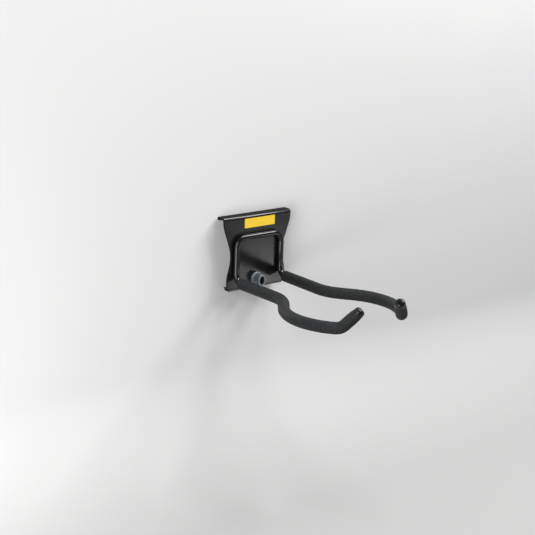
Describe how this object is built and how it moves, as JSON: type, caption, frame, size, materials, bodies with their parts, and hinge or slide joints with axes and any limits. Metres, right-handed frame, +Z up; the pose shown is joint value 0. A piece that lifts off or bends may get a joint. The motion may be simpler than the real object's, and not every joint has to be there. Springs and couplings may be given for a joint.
{
  "type": "garage utility hook",
  "caption": "Rail-hung utility hook: waisted black sheet plate with a hooked top edge, a bent rod frame on its front that reaches out as two sleeved cradle arms, and a turning lock knob",
  "frame": {"origin": "on the back face of the plate, midway across its width and midway up its height, where it lies against the rail", "axes": "+X to the right of someone who faces the wall, +Y into the wall, +Z up; the arms reach out along -Y"},
  "size_m": [0.118, 0.2052, 0.0768],
  "materials": {
    "plate_coat": "black powder coat, satin",
    "rod_coat": "black powder coat, semi-gloss",
    "sleeve_rubber": "charcoal, matte, finely grained",
    "label_film": "yellow printed film, satin, left blank",
    "knob_plastic": "blue-grey moulded, satin",
    "cam_steel": "black powder coat, satin",
    "bright_steel": "zinc-plated"
  },
  "bodies": {
    "hook": {"back_plate": "plate_coat", "wire_frame": "rod_coat", "sleeve_left": "sleeve_rubber", "sleeve_right": "sleeve_rubber", "label": "label_film"},
    "lock": {"lock_knob": "knob_plastic", "lock_cam": "cam_steel", "cam_washer": "bright_steel", "cam_screw": "bright_steel"}
  },
  "joints": [
    {"name": "lock_turn", "type": "hinge", "parent": "hook", "child": "lock", "pos_m": [0, 0, -0.0284], "axis": [0, -1, 0], "range_deg": [0, 90]}
  ]
}
